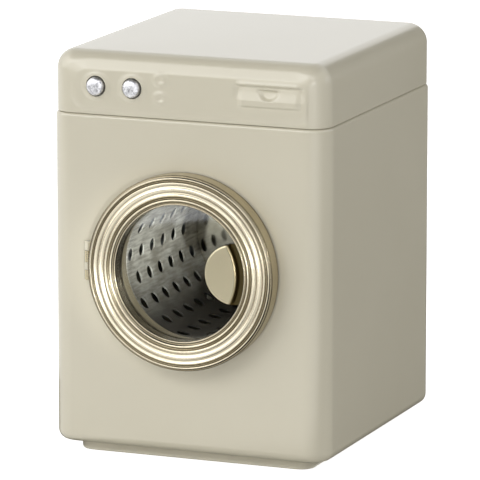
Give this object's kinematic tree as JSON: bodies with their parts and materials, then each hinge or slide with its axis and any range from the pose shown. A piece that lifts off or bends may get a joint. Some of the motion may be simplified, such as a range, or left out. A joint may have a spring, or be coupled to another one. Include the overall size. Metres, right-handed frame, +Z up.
{
  "type": "toy washing machine",
  "caption": "Cream painted metal toy washing machine with a beaded round door, a perforated drum and dials.",
  "frame": {"origin": "middle of the cabinet's footprint, on the underside of the base pan", "axes": "+X to the right seen from the front, -Y towards the front with the door, +Z up"},
  "size_m": [0.09, 0.1025, 0.125],
  "materials": {
    "cream_enamel": "gloss",
    "champagne_metal": "satin metallic",
    "silver_knob": "satin",
    "bare_steel": "satin",
    "clear_pane": "clear",
    "plated_steel": "zinc plated",
    "nylon": "matte",
    "ferrite": "matte"
  },
  "bodies": {
    "cabinet": {"cabinet_shell": "cream_enamel", "top_cover": "cream_enamel", "base_pan": "cream_enamel", "back_panel": "cream_enamel", "back_screws": "plated_steel", "drum_bridge": "plated_steel", "drum_bush": "nylon", "knob_bracket": "plated_steel", "magnet_cup": "plated_steel", "catch_magnet": "ferrite", "hinge_leaf_cabinet": "cream_enamel", "hinge_pin": "plated_steel"},
    "door": {"door_ring": "champagne_metal", "grip_pocket": "champagne_metal", "window_pane": "clear_pane", "window_retainer": "plated_steel", "hinge_leaf_door": "champagne_metal", "leaf_rivets": "plated_steel"},
    "drum": {"drum_wall": "bare_steel", "drum_back": "bare_steel", "drum_axle": "plated_steel", "axle_spacer": "nylon", "axle_clip": "plated_steel"},
    "left_dial": {"left_knob": "silver_knob", "left_knob_washer": "nylon", "left_knob_retainer": "plated_steel"},
    "right_dial": {"right_knob": "silver_knob", "right_knob_washer": "nylon", "right_knob_retainer": "plated_steel"}
  },
  "joints": [
    {"name": "door_hinge", "type": "hinge", "parent": "cabinet", "child": "door", "pos_m": [-0.0316, -0.049, 0.0602], "axis": [0, 0, -1], "range_deg": [0, 125]},
    {"name": "drum_spin", "type": "hinge", "parent": "cabinet", "child": "drum", "pos_m": [0, 0.0157, 0.0602], "axis": [0, 1, 0], "continuous": true},
    {"name": "left_knob_turn", "type": "hinge", "parent": "cabinet", "child": "left_dial", "pos_m": [-0.0295, -0.0474, 0.1147], "axis": [0, 1, 0], "continuous": true},
    {"name": "right_knob_turn", "type": "hinge", "parent": "cabinet", "child": "right_dial", "pos_m": [-0.0177, -0.0474, 0.1147], "axis": [0, 1, 0], "continuous": true}
  ]
}
